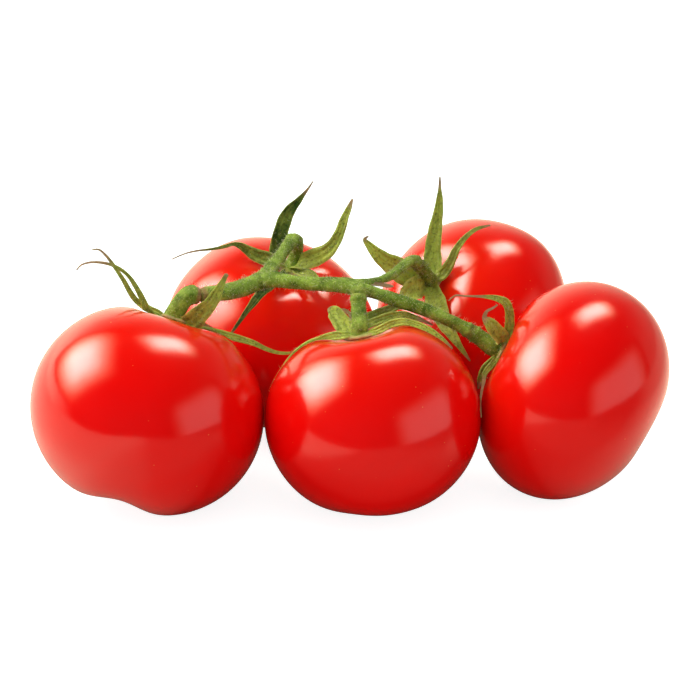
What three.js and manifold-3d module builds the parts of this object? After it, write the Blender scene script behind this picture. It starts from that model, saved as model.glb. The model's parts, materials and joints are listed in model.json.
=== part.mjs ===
// A truss of five ripe tomatoes, laid on a table as picked. A green vine runs over the fruits and sends
// one branch to each. Every branch ends at a knuckle, where the stalk of a fruit takes over, and the
// stalk spreads into a calyx of five sepals that sits in the hollow of the fruit's shoulder.
// Millimetres, +Z up. Three fruits stand in the front row, towards -Y, and two behind them.
// The origin is on the table, under the middle of the truss.
import * as THREE from "three";
import { mergeVertices } from "three/addons/utils/BufferGeometryUtils.js";
import Module from "manifold-3d";

const wasm = await Module();
wasm.setup();

const SKIN = new THREE.MeshStandardMaterial({ color: 0xd3170c, roughness: 0.3, metalness: 0 });
const CALYX_GREEN = new THREE.MeshStandardMaterial({ color: 0x6c8a3c, roughness: 0.7, metalness: 0 });
const VINE_GREEN = new THREE.MeshStandardMaterial({ color: 0x5c7f3a, roughness: 0.6, metalness: 0 });

// The fruits. width is across and height along the fruit's own axis, with the depth of the hollow that
// the calyx sits in. at is the middle of the body. The stalk end leans from the vertical by lean, towards
// the compass angle toward, where 0 is +X and 90 is +Y. spin turns the lobes round the axis, all in
// degrees. ridge is how far the lobes swell the shoulder, and bulge how far the fruit swells on the side
// that faces bulgeAt, both as shares of the radius. seam is the depth of a trough across the blossom
// end, which runs at the angle seamAt.
const FRUITS = {
  left: {
    width: 71.4, height: 63.2, hollow: 5, at: [-62.9, -35, 32.3], lean: 31, toward: 56, spin: 20,
    lobes: 5, ridge: 0.01, bulge: 0.01, bulgeAt: -50, seam: 2.4, seamAt: 92,
  },
  middle: {
    width: 65.7, height: 60.1, hollow: 6.5, at: [6.1, -35, 29.7], lean: 17, toward: 125, spin: 65,
    lobes: 5, ridge: 0.01, bulge: 0.008, bulgeAt: -104, seam: 1.2, seamAt: 45,
  },
  right: {
    width: 69.2, height: 54.8, hollow: 5, at: [68, -23.8, 34.3], lean: 67, toward: 165, spin: 17,
    lobes: 4, ridge: 0.022, bulge: 0.038, bulgeAt: -154, seam: 0.3, seamAt: 70,
  },
  back_left: {
    width: 69, height: 58, hollow: 5, at: [-27, 28, 28.5], lean: 18, toward: -32, spin: 40,
    lobes: 6, ridge: 0.022, bulge: 0.01, bulgeAt: 90, seam: 1, seamAt: 130,
  },
  back_right: {
    width: 66, height: 55, hollow: 5, at: [39.5, 37.5, 30.2], lean: 46, toward: -142, spin: 10,
    lobes: 5, ridge: 0.018, bulge: 0.01, bulgeAt: 40, seam: 1, seamAt: 0,
  },
};
const FRUIT_SIDES = 32;
const FRUIT_BELTS = 18;
const SQUARENESS = 0.92; // under 1, a belt near the poles is wider than on an ellipsoid
const HOLLOW_SHARE = 0.3; // the reach of the hollow, as a share of the fruit's radius
const NAVEL_DEPTH = 1.5; // of the dimple at the blossom end
const NAVEL_SHARE = 0.25;
const SEAM_HALF_WIDTH = 9;

// A calyx sits in the hollow, this far above its floor.
const SEAT_RISE = 1.35;
const BUTTON_RADIUS = 4.8; // the round base that the sepals and the stalk grow from
const BUTTON_THICKNESS = 2.2;
const CLEARANCE = 0.45; // between a sepal and any skin

// The sepals. A route is the sepal's midrib, in points right of, behind and above its seat. width is the
// widest measure. A taper over 1 runs out early into a long thin tip, and one under 1 ends bluntly.
const BLADE_THICKNESS = 0.9;
const BLADE_STEPS = 9;
const BLADE_FOLD = 0.22; // how far the edges rise over the midrib, as a share of the half width
const TIP_WIDTH = 0.7;
const SEPALS = {
  left: [
    {
      width: 3.6, taper: 1.3,
      route: [
        [-5.5, -1.5, 3], [-9, -1, 6.5], [-12, 1, 12.5],
        [-16, 2, 17.5], [-22.5, 3, 19], [-29, 3, 16.5],
      ],
    },
    {
      width: 2.8, taper: 1.2,
      route: [[-6, 4, 2], [-11, 6, 4.5], [-14.5, 8, 10], [-18.5, 10, 16], [-25, 11, 20]],
    },
    {
      width: 6, taper: 1,
      route: [[3, -5, 1], [8.5, -9, 6.5], [13.5, -10, 12], [17, -10, 21]],
    },
    {
      width: 3.2, taper: 1.1,
      route: [[6, -1, -1.5], [15, 1, -4], [23, 1, -6], [28.5, 0, -8.5], [33.5, -1, -9.5], [38, -1, -8.5]],
    },
    {
      width: 4.5, taper: 1,
      route: [[2, 5, 1], [5, 11, 1], [7, 18, -3]],
    },
  ],
  middle: [
    {
      width: 4, taper: 1.3,
      route: [[-5, -0.5, 2.5], [-11, -2, 2.3], [-16, -3, -0.7], [-21.5, -5, -6.2], [-26.5, -7, -14.7]],
    },
    {
      width: 3.8, taper: 1.1,
      route: [[4, -0.5, 3], [8.5, 0.5, 6.5], [13.5, 0, 8], [19.5, -2, 7], [25, -3, 3], [29, -4, -1]],
    },
    {
      width: 3.4, taper: 1.1,
      route: [[4, 5, 2.5], [8, 11, 3.5], [13.5, 15.5, 3], [19, 18.5, 0], [23.5, 19.5, -3]],
    },
    {
      width: 4.6, taper: 0.6,
      route: [[-3.5, 4, 3], [-6.5, 8.5, 5], [-8, 10.5, 6]],
    },
    {
      width: 2.4, taper: 0.9,
      route: [[-1.5, 8, 3], [-5.5, 14, 4.5], [-7.5, 16.5, 4]],
    },
  ],
  right: [
    {
      width: 3.4, taper: 1.1,
      route: [[0, -1, 5], [1.5, -2, 11.5], [0, -3, 17.5], [-4, -4, 20.5], [-11, -4, 21], [-18, -4, 20]],
    },
    {
      width: 3.6, taper: 1,
      route: [[-3, -3, 6], [-6.5, -5, 11.5], [-7.5, -5, 15.5], [-6, -5, 18], [-3, -4, 19]],
    },
    {
      width: 2.4, taper: 1.2,
      route: [[-2, -5, 1], [-4, -9, -1.5], [-5.5, -14, -4], [-7.5, -22, -6.5], [-7.5, -27, -7]],
    },
    {
      width: 3.8, taper: 1,
      route: [[-1.5, -3, 0], [-4.5, -4, -2.5], [-6.5, -5, -5], [-7.5, -6, -7]],
    },
    {
      width: 4, taper: 1,
      route: [[-1, 4, 1], [-1, 9, 1], [1, 15, -1], [4, 21, -5]],
    },
  ],
  back_left: [
    {
      width: 5.8, taper: 0.9,
      route: [[-3, 0.5, 2.5], [-4, 3.5, 8], [-2.5, 6.5, 14], [1.5, 8.5, 20], [7, 9.5, 26.5]],
    },
    {
      width: 4.6, taper: 0.9,
      route: [[4, -2.5, 2.5], [10.5, -4.5, 4.5], [15, -4.5, 9], [17.5, -3.5, 15.5], [20.5, -2.5, 26]],
    },
    {
      width: 4.6, taper: 1.4,
      route: [
        [-6, -0.5, 3], [-11.5, -0.5, 6], [-16.5, -0.5, 9],
        [-23, -1.5, 8], [-30, -2.5, 7], [-37, -3.5, 5],
      ],
    },
    {
      width: 3.8, taper: 0.9,
      route: [[-5.5, -15.5, 2], [-10, -24.5, 1], [-13.5, -29.5, -2.5], [-17, -31.5, -7.5]],
    },
    {
      width: 4, taper: 0.8,
      route: [[3, -4, 1], [6, -9, 2], [10, -14, 1]],
    },
  ],
  back_right: [
    {
      width: 6.2, taper: 0.9,
      route: [[0.5, 1.5, 4.5], [0.5, 3.5, 10.5], [1.5, 5.5, 18.5], [2, 6.5, 27], [1.5, 6.5, 34.5]],
    },
    {
      width: 5.2, taper: 0.9,
      route: [[-4.5, -2.5, 3], [-10, -4.5, 6.5], [-15, -6.5, 11], [-19.5, -8.5, 15.5], [-22.5, -8.5, 20.5]],
    },
    {
      width: 3.8, taper: 0.9,
      route: [[3, -2.5, 3.5], [6.5, -2.5, 9.5], [10, -1.5, 15], [14, 0.5, 18.5], [18.5, 2.5, 19.5]],
    },
    {
      width: 4.8, taper: 0.9,
      route: [[-4.5, -4.5, 0], [-10.5, -12.5, -0.5], [-16, -18.5, -0.5], [-21.5, -22.5, -1]],
    },
    {
      width: 6.4, taper: 0.9,
      route: [[1, -6.5, -1.5], [3.5, -13.5, -4.5], [6.5, -19.5, -9], [10, -22.5, -14], [13, -23.5, -17]],
    },
  ],
};

// Stalks and branches are round. Each point of their routes is x, y, z and the radius there, in the
// truss's frame. They swell a little at the knuckles, where a ripe fruit breaks off.
const STALK_SIDES = 10;
const STALK_STEP = 2.5;

// The stalk of each fruit, from its calyx up to the knuckle.
const STALKS = {
  left: [
    [-54.2, -22.3, 59.8, 3], [-53.1, -21.8, 62.6, 3], [-51, -21, 64.3, 3],
    [-49.2, -20.5, 63.8, 2.9], [-47.3, -19.9, 63.7, 3],
  ],
  middle: [
    [1.6, -27.6, 56.6, 2.9], [1.3, -24.8, 58.8, 2.6],
    [1.1, -21.1, 61.7, 2.7], [1.1, -20.4, 62.4, 2.9],
  ],
  right: [[44.2, -18, 45.2, 2.9], [41.4, -17.6, 47.3, 2.7], [38.6, -17.2, 49.5, 2.8], [37, -17.1, 50.3, 3]],
  back_left: [
    [-19.3, 23.8, 57, 2.9], [-17.9, 23.9, 61, 2.6], [-17.9, 22.9, 64.2, 2.6],
    [-18.7, 20.7, 66.2, 2.7], [-19.2, 19.3, 66.3, 2.8],
  ],
  back_right: [
    [25, 24.5, 50.5, 2.9], [23, 21.2, 55.2, 2.5], [21.3, 19, 58.3, 2.5],
    [20.1, 17.2, 59.8, 2.6], [19.6, 16.2, 60.1, 2.6],
  ],
};
const FLARE = 1.35; // a stalk's foot is this much thicker where it spreads into the calyx

// The vine and its branches, as far as each knuckle. A branch starts inside the one it grows from.
const VINE = [
  // from the left knuckle to the back left one
  [
    [-46.8, -19.8, 63.7, 3.2], [-44, -19, 63.7, 2.9], [-38, -16, 63.8, 3.2], [-30.5, -9.5, 63.9, 3.4],
    [-27, -2.5, 64.6, 2.8], [-22.8, 10, 66, 2.5], [-19.4, 18.8, 66.3, 2.8],
  ],
  // from the fork to the middle knuckle
  [
    [-33, -12, 63.5, 2.6], [-26, -11.3, 63.2, 2.9], [-19.5, -10.5, 63.2, 2.8], [-7, -13, 64.8, 2.8],
    [0, -15.8, 65.4, 2.7], [1.1, -18.4, 64.4, 2.6], [1.1, -20.1, 62.7, 2.8],
  ],
  // to the right knuckle
  [
    [-4, -14.5, 64.9, 2.1], [3, -16, 64.2, 2.5], [14, -17, 61, 2.3],
    [26.7, -17, 55, 2.3], [34, -17, 51.8, 2.5], [36.6, -17.1, 50.5, 2.8],
  ],
  // to the back right knuckle
  [
    [-2, -14.5, 65, 1.9], [5, -11.5, 64, 2.3], [10, -5, 62, 2.2],
    [15, 5, 61, 2.1], [18.2, 13, 60.5, 2.3], [19.4, 15.6, 60.2, 2.5],
  ],
  // the stub of a branch that was cut off
  [[1, -14.5, 63.8, 1.6], [8, -10, 61.8, 1.9], [12, -6.8, 60.2, 1.9]],
];

const vector = (point) => new THREE.Vector3(...point);
const radians = THREE.MathUtils.degToRad;

// A closed geometry as a solid that can be joined and cut.
function solidOf(geometry) {
  const bare = geometry.clone();
  bare.deleteAttribute("normal");
  bare.deleteAttribute("uv");
  const merged = mergeVertices(bare, 1e-4);
  return new wasm.Manifold(
    new wasm.Mesh({
      numProp: 3,
      vertProperties: merged.attributes.position.array,
      triVerts: new Uint32Array(merged.index.array),
    }),
  );
}

// A solid as a geometry with flat-shaded faces.
function geometryOf(solid) {
  const mesh = solid.getMesh();
  const geometry = new THREE.BufferGeometry();
  geometry.setAttribute("position", new THREE.BufferAttribute(mesh.vertProperties, 3));
  geometry.setIndex(new THREE.BufferAttribute(mesh.triVerts, 1));
  geometry.computeVertexNormals();
  return geometry;
}

// The turn that takes a fruit's own axes into the truss's: spun about the axis, leaned, then faced.
function turnOf(fruit) {
  const facing = new THREE.Quaternion().setFromAxisAngle(vector([0, 0, 1]), radians(fruit.toward));
  const leaning = new THREE.Quaternion().setFromAxisAngle(vector([0, 1, 0]), radians(fruit.lean));
  const spinning = new THREE.Quaternion().setFromAxisAngle(vector([0, 0, 1]), radians(fruit.spin));
  return facing.multiply(leaning).multiply(spinning);
}

// A point of the skin in the fruit's own axes. down is the angle from the stalk end and round the angle
// about the axis. The body is a squared ellipsoid, less the hollow at the stalk end and the navel and
// seam at the blossom end. The lobes swell the shoulder and fade towards the blossom end. Compass
// angles are counted from the lean and the spin to reach the fruit's own.
function skinPoint(fruit, down, round) {
  const share = Math.sin(down) ** SQUARENESS;
  const rise = Math.cos(down);
  const shoulder = share * (0.45 + 0.55 * rise);
  const lobed = Math.cos(fruit.lobes * round) + 0.6 * Math.cos(2 * round + 1);
  const bulging = Math.cos(round - radians(fruit.bulgeAt - fruit.toward - fruit.spin));
  const swell = fruit.ridge * lobed * shoulder + fruit.bulge * bulging * share;
  const radius = (fruit.width / 2) * share * (1 + swell);
  const x = radius * Math.cos(round);
  const y = radius * Math.sin(round);
  let z = (fruit.height / 2) * rise;
  if (rise > 0) {
    z -= fruit.hollow * Math.exp(-((share / HOLLOW_SHARE) ** 2));
  } else {
    const seamTurn = radians(fruit.seamAt - fruit.toward - fruit.spin);
    const across = x * Math.sin(seamTurn) - y * Math.cos(seamTurn);
    z += NAVEL_DEPTH * Math.exp(-((share / NAVEL_SHARE) ** 2));
    z -= fruit.seam * rise * Math.exp(-((across / SEAM_HALF_WIDTH) ** 2));
  }
  return new THREE.Vector3(x, y, z);
}

// A fruit as a ball whose vertices are moved onto the skin, with the sliver under the table cut away
// so that it rests on a small flat spot.
function fruitGeometry(fruit, turn) {
  const ball = new THREE.SphereGeometry(1, FRUIT_SIDES, FRUIT_BELTS).rotateX(Math.PI / 2);
  const places = ball.attributes.position;
  for (let i = 0; i < places.count; i++) {
    const place = new THREE.Vector3().fromBufferAttribute(places, i);
    const down = Math.acos(THREE.MathUtils.clamp(place.z, -1, 1));
    const point = skinPoint(fruit, Math.min(down, Math.PI - 1e-9), Math.atan2(place.y, place.x));
    places.setXYZ(i, point.x, point.y, point.z);
  }
  const side = 2 * fruit.width;
  const underTable = new THREE.BoxGeometry(side, side, side).translate(0, 0, -side / 2);
  underTable.translate(0, 0, -fruit.at[2]).applyQuaternion(turn.clone().invert());
  return geometryOf(solidOf(ball).subtract(solidOf(underTable)));
}

// How far the skin lies from the fruit's middle in the direction of a point, by halving the angle range.
function skinReach(fruit, point) {
  const round = Math.atan2(point.y, point.x);
  const wanted = Math.atan2(Math.hypot(point.x, point.y), point.z);
  let [low, high] = [0, Math.PI];
  for (let i = 0; i < 24; i++) {
    const middle = (low + high) / 2;
    const skin = skinPoint(fruit, middle, round);
    if (Math.atan2(Math.hypot(skin.x, skin.y), skin.z) < wanted) low = middle;
    else high = middle;
  }
  return skinPoint(fruit, low, round).length();
}

// Moves a point straight out of any fruit that it is in, or nearer to than gap. Between two fruits it
// takes a few rounds to slide out of the wedge.
function clearOfFruits(point, gap) {
  for (let round = 0; round < 4; round++) {
    for (const fruit of Object.values(FRUITS)) {
      const middle = vector(fruit.at);
      const turn = turnOf(fruit);
      const local = point.clone().sub(middle).applyQuaternion(turn.clone().invert());
      const least = skinReach(fruit, local) + gap;
      if (local.length() < least) point.copy(local.setLength(least).applyQuaternion(turn).add(middle));
    }
  }
  return point;
}

// A round stalk along a smooth route: a cylinder bent along it, as thick as the route says.
function stalk(route) {
  const line = new THREE.CatmullRomCurve3(route.map(([x, y, z]) => vector([x, y, z])));
  const steps = Math.ceil(line.getLength() / STALK_STEP);
  const frames = line.computeFrenetFrames(steps);
  const rod = new THREE.CylinderGeometry(1, 1, 1, STALK_SIDES, steps);
  const places = rod.attributes.position;
  for (let i = 0; i < places.count; i++) {
    const along = 0.5 - places.getY(i);
    const step = Math.round(along * steps);
    const reach = line.getUtoTmapping(along) * (route.length - 1);
    const before = Math.min(Math.floor(reach), route.length - 2);
    const radius = THREE.MathUtils.lerp(route[before][3], route[before + 1][3], reach - before);
    const point = line
      .getPointAt(along)
      .addScaledVector(frames.normals[step], radius * places.getX(i))
      .addScaledVector(frames.binormals[step], radius * places.getZ(i));
    places.setXYZ(i, point.x, point.y, point.z);
  }
  return solidOf(rod);
}

// A sepal's width at a share of its length: widest a third of the way out, and drawn out to the tip.
function bladeWidth(sepal, along) {
  const leaf = (1 - along) ** sepal.taper * (0.8 + 1.9 * along);
  return Math.max(TIP_WIDTH, sepal.width * leaf);
}

// A sepal as a thin closed blade of three rows of points above and three below: edge, midrib, edge.
// Its faces are split into triangles alike above and below. The side direction is carried along the
// route without turning, and the blade is lifted clear of every fruit.
function blade(seat, axis, sepal) {
  const root = seat.clone().addScaledVector(axis, BUTTON_THICKNESS / 2);
  const points = sepal.route.map((point) => vector(point).add(seat));
  const line = new THREE.CatmullRomCurve3([root, ...points]);
  const rows = [];
  let side = null;
  for (let i = 0; i <= BLADE_STEPS; i++) {
    const along = i / BLADE_STEPS;
    const tangent = line.getTangentAt(along);
    side = side ?? axis.clone().cross(tangent);
    side.addScaledVector(tangent, -side.dot(tangent)).normalize();
    const normal = tangent.clone().cross(side);
    const half = bladeWidth(sepal, along) / 2;
    const row = [-1, 0, 1].map((k) => {
      const point = line.getPointAt(along).addScaledVector(side, k * half);
      point.addScaledVector(normal, Math.abs(k) * BLADE_FOLD * half);
      return clearOfFruits(point, CLEARANCE + BLADE_THICKNESS / 2);
    });
    rows.push([
      ...row.map((point) => point.clone().addScaledVector(normal, BLADE_THICKNESS / 2)),
      ...row.map((point) => point.clone().addScaledVector(normal, -BLADE_THICKNESS / 2)),
    ]);
  }
  const faces = [];
  const quad = (a, b, c, d) => faces.push(a, b, c, a, c, d);
  for (let i = 0; i < BLADE_STEPS; i++) {
    const here = 6 * i;
    const next = here + 6;
    for (const k of [0, 1]) {
      quad(here + k, next + k, next + k + 1, here + k + 1);
      faces.push(here + 3 + k, next + 4 + k, next + 3 + k, here + 3 + k, here + 4 + k, next + 4 + k);
    }
    quad(here, here + 3, next + 3, next);
    quad(here + 2, next + 2, next + 5, here + 5);
  }
  for (const k of [0, 1]) {
    quad(k, k + 1, k + 4, k + 3);
    const end = 6 * BLADE_STEPS + k;
    quad(end, end + 3, end + 4, end + 1);
  }
  const sheet = new THREE.BufferGeometry();
  const places = rows.flat().flatMap((point) => point.toArray());
  sheet.setAttribute("position", new THREE.Float32BufferAttribute(places, 3));
  sheet.setIndex(faces);
  return solidOf(sheet);
}

// A calyx with its stalk, as one solid in the truss's frame.
function calyxSolid(name) {
  const fruit = FRUITS[name];
  const turn = turnOf(fruit);
  const axis = vector([0, 0, 1]).applyQuaternion(turn);
  const seat = vector(fruit.at).addScaledVector(axis, fruit.height / 2 - fruit.hollow + SEAT_RISE);
  const button = new THREE.SphereGeometry(1, 14, 6).rotateX(Math.PI / 2);
  button.scale(BUTTON_RADIUS, BUTTON_RADIUS, BUTTON_THICKNESS / 2);
  button.translate(0, 0, BUTTON_THICKNESS / 2).applyQuaternion(turn);
  button.translate(seat.x, seat.y, seat.z);
  const radius = STALKS[name][0][3];
  const foot = [...seat.clone().addScaledVector(axis, 1).toArray(), radius * FLARE];
  const neck = [...seat.clone().addScaledVector(axis, BUTTON_THICKNESS).toArray(), radius];
  const blades = SEPALS[name].map((sepal) => blade(seat, axis, sepal));
  return wasm.Manifold.union([solidOf(button), stalk([foot, neck, ...STALKS[name]]), ...blades]);
}

const truss = new THREE.Group();

for (const [name, fruit] of Object.entries(FRUITS)) {
  const turn = turnOf(fruit);
  const tomato = new THREE.Mesh(fruitGeometry(fruit, turn), SKIN);
  tomato.name = `tomato_${name}`;
  tomato.position.set(...fruit.at);
  tomato.quaternion.copy(turn);
  truss.add(tomato);

  const calyx = new THREE.Mesh(geometryOf(calyxSolid(name)), CALYX_GREEN);
  calyx.name = `calyx_${name}`;
  truss.add(calyx);
}

const vine = new THREE.Mesh(geometryOf(wasm.Manifold.union(VINE.map(stalk))), VINE_GREEN);
vine.name = "vine";
truss.add(vine);

export default truss;
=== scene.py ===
import json
import math

import bpy
import numpy as np
from mathutils import Matrix, Vector

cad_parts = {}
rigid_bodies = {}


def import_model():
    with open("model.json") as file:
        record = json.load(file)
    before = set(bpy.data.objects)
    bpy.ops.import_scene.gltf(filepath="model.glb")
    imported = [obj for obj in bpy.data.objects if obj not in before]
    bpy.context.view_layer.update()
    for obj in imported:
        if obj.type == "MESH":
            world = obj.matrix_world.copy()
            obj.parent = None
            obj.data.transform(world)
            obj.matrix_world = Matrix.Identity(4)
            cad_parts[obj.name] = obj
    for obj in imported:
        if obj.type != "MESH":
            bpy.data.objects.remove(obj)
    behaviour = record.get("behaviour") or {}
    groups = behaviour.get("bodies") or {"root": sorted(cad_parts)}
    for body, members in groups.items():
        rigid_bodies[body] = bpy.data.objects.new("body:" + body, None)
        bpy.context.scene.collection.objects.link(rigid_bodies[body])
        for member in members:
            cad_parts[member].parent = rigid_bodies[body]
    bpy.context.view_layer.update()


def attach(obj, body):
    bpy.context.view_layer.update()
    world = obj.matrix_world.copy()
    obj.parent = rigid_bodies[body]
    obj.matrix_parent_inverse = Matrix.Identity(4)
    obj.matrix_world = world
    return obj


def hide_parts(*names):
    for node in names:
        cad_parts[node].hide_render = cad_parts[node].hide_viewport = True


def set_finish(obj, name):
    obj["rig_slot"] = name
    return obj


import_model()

# A truss of ripe tomatoes: five fruits, each with its calyx and stalk, on one cut vine. Sizes are in
# millimetres and become metres where a mesh is made. +X is to the right, +Y away and +Z up.
MM = 0.001

# The tomatoes
# Five ripe berries of one truss: red flesh under a thin, clear, waxy skin. Each is drawn in at the
# stalk, faintly furrowed on its shoulders and scarred at the blossom end, and has grown against its
# neighbours. They lie on the table on small flat spots.

# width is across the fruit's own axis, height along it, hollow the depth of the dip at the stalk, and
# at the middle of the body. The stalk end leans by lean towards the compass angle toward, where 0 is
# +X and 90 is +Y, and spin turns the lobes. ridge is how far the lobes swell the shoulder, and bulge
# how far the side that faces bulge_at swells, as shares of the radius. seam is the depth of a trough
# across the blossom end, which runs at seam_at. furrows is the number of creases that run out of the
# hollow, and furrow their depth. SQUARENESS below 1 makes the outline fuller than an ellipse, a SHARE
# is a distance from the axis as a share of the radius, and ORANGE_REACH is how far down from the
# stalk end, as an angle, the skin is tinged with orange.
FRUITS = {
    "left": dict(width=71.4, height=63.2, hollow=5, at=[-62.9, -35, 32.3], lean=31, toward=56,
                 spin=20, lobes=5, ridge=0.01, bulge=0.01, bulge_at=-50, seam=2.4, seam_at=92,
                 furrows=5, furrow=0.3),
    "middle": dict(width=65.7, height=60.1, hollow=6.5, at=[6.1, -35, 29.7], lean=17, toward=125,
                   spin=65, lobes=5, ridge=0.01, bulge=0.008, bulge_at=-104, seam=1.2, seam_at=45,
                   furrows=5, furrow=0.05),
    "right": dict(width=69.2, height=54.8, hollow=5, at=[68, -23.8, 34.3], lean=67, toward=165,
                  spin=17, lobes=4, ridge=0.022, bulge=0.038, bulge_at=-154, seam=0.3, seam_at=70,
                  furrows=6, furrow=0.12),
    "back_left": dict(width=69, height=58, hollow=5, at=[-27, 28, 28.5], lean=18, toward=-32,
                      spin=40, lobes=6, ridge=0.022, bulge=0.01, bulge_at=90, seam=1, seam_at=130,
                      furrows=6, furrow=0.5),
    "back_right": dict(width=66, height=55, hollow=5, at=[39.5, 37.5, 30.2], lean=46, toward=-142,
                       spin=10, lobes=5, ridge=0.018, bulge=0.01, bulge_at=40, seam=1, seam_at=0,
                       furrows=5, furrow=0.5),
}
SQUARENESS = 0.92
SECOND_LOBE = 0.6
HOLLOW_SHARE = 0.3
NAVEL_DEPTH = 1.5
NAVEL_SHARE = 0.25
SEAM_HALF_WIDTH = 9
FURROW_SHARE = 0.42
FURROW_REACH = 0.2
ORANGE_REACH = 0.75
FRUIT_BELTS = 130
FRUIT_SIDES = 192


def turn_of(fruit):
    """The fruit's turn: its spin about its axis, then its lean, then its compass angle."""
    spin = Matrix.Rotation(math.radians(fruit["spin"]), 3, "Z")
    lean = Matrix.Rotation(math.radians(fruit["lean"]), 3, "Y")
    toward = Matrix.Rotation(math.radians(fruit["toward"]), 3, "Z")
    return np.array(toward @ lean @ spin)


def skin_point(fruit, down, around):
    """A point of the skin in the fruit's own axes, down from the stalk end and around the axis. Its
    distance from the axis goes with share = sin(down) ^ squareness and its height with cos(down). The
    lobes, the bulge and slow uneven waves swell the distance. A bell in share sinks the hollow, with
    creases round its rim, and another lifts the navel. A bell in the distance from the seam's plane
    sinks the seam."""
    share = np.sin(down) ** SQUARENESS
    rise = np.cos(down)
    own = math.radians(fruit["toward"] + fruit["spin"])
    lobed = np.cos(fruit["lobes"] * around) + SECOND_LOBE * np.cos(2 * around + 1)
    bulging = np.cos(around - math.radians(fruit["bulge_at"]) + own)
    uneven = 0.003 * np.sin(3 * around + 2.3 * down) + 0.002 * np.sin(7 * around - 3.1 * down)
    swell = fruit["ridge"] * lobed * share * (0.45 + 0.55 * rise) + fruit["bulge"] * bulging * share
    radius = fruit["width"] / 2 * share * (1 + swell + uneven * share)
    x = radius * np.cos(around)
    y = radius * np.sin(around)
    z = fruit["height"] / 2 * rise
    crease = np.cos(fruit["furrows"] * around / 2 + 0.5 * np.sin(around)) ** 4
    rim = np.exp(-((share - FURROW_SHARE) / FURROW_REACH) ** 2)
    stalk_end = fruit["hollow"] * np.exp(-(share / HOLLOW_SHARE) ** 2) + fruit["furrow"] * crease * rim
    seam_turn = math.radians(fruit["seam_at"]) - own
    off_seam = (x * math.sin(seam_turn) - y * math.cos(seam_turn)) / SEAM_HALF_WIDTH
    navel = NAVEL_DEPTH * np.exp(-(share / NAVEL_SHARE) ** 2)
    z = z + np.where(rise > 0, -stalk_end, navel - fruit["seam"] * rise * np.exp(-off_seam ** 2))
    return np.stack([x, y, z], -1)


def rested_skin(fruit, down, around):
    """A point of the skin in its place in the truss, where the table presses it flat at height 0."""
    point = np.array(fruit["at"]) + skin_point(fruit, down, around) @ turn_of(fruit).T
    return np.stack([point[..., 0], point[..., 1], np.maximum(point[..., 2], 0)], -1)


def closed_skin(rings, first, last, **marks):
    """A closed body: rings of points, anticlockwise as seen from ahead, each joined to the next by
    four-sided faces, and the two end rings to a point each. A mark is a number for every ring point."""
    rows, sides = rings.shape[:2]
    row = np.arange(rows - 1)[:, None] * sides
    side = np.arange(sides)[None, :]
    after = (side + 1) % sides
    walls = np.stack([row + side, row + after, row + sides + after, row + sides + side], -1)
    ends = (rows - 1) * sides
    front = np.stack([after[0], side[0], np.full(sides, rows * sides)], -1)
    back = np.stack([ends + side[0], ends + after[0], np.full(sides, rows * sides + 1)], -1)
    for name, mark in marks.items():
        mark = np.broadcast_to(mark, (rows, sides))
        marks[name] = np.concatenate([mark.ravel(), [mark[0].mean(), mark[-1].mean()]])
    points = np.concatenate([rings.reshape(-1, 3), [first], [last]])
    return dict(points=points, faces=[walls.reshape(-1, 4), front, back], marks=marks)


def piece(name, bodies, finish, slot, *nodes):
    """One smooth mesh of closed bodies, which rides on the truss and stands for the named nodes."""
    mesh = bpy.data.meshes.new(name)
    faces, start = [], 0
    for body in bodies:
        for group in body["faces"]:
            faces += (group + start).tolist()
        start += len(body["points"])
    mesh.from_pydata((np.concatenate([body["points"] for body in bodies]) * MM).tolist(), [], faces)
    for mark in bodies[0]["marks"]:
        values = np.concatenate([body["marks"][mark] for body in bodies]).astype(np.float32)
        mesh.attributes.new(mark, "FLOAT", "POINT").data.foreach_set("value", values)
    mesh.shade_smooth()
    mesh.materials.append(finish)
    made = bpy.data.objects.new(name, mesh)
    bpy.context.scene.collection.objects.link(made)
    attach(made, "root")
    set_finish(made, slot)
    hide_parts(*nodes)
    return made


def linear(code):
    """An sRGB hex colour as the linear colour that a shader takes."""
    channels = [int(code[i:i + 2], 16) / 255 for i in (1, 3, 5)]
    return [c / 12.92 if c <= 0.04045 else ((c + 0.055) / 1.055) ** 2.4 for c in channels] + [1]


def add_node(tree, kind, inputs=(), **settings):
    """Adds one shader node: its settings, then each input as a value or as a link from an output. In a
    Mix node of colours, 0 is the factor, 6 and 7 are the two colours, and output 2 is the result."""
    made = tree.nodes.new("ShaderNode" + kind)
    for name, value in settings.items():
        setattr(made, name, value)
    for socket, value in dict(inputs).items():
        if isinstance(value, bpy.types.NodeSocket):
            tree.links.new(value, made.inputs[socket])
        else:
            made.inputs[socket].default_value = value
    return made


def new_material(name):
    """An empty material with its node tree."""
    material = bpy.data.materials.new(name)
    material.use_nodes = True
    material.node_tree.nodes.clear()
    return material, material.node_tree


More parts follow.
